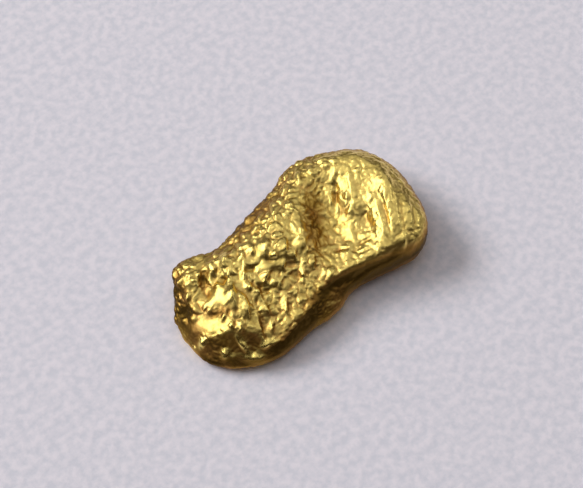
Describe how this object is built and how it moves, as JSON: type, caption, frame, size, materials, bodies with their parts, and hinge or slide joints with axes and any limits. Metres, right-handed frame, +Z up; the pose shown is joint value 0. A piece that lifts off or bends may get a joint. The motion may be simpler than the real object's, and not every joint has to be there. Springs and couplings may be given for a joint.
{
  "type": "gold nugget",
  "caption": "Small native gold nugget: a bean-shaped, lumpy slab with a broad smooth end, a gnarled narrow end and a worn underside to rest on.",
  "frame": {"origin": "centre of the bounding box's underside, on the surface that the nugget lies on", "axes": "+X along the nugget from its narrow, gnarled end to its broad end; +Z up, from the worn underside to the crown"},
  "size_m": [0.0122, 0.0068, 0.0023],
  "materials": {
    "native_gold": "native gold, bare metal: bright on the worn lumps, duller and brown in the creases"
  },
  "bodies": {
    "root": {"nugget": "native_gold"}
  },
  "joints": []
}
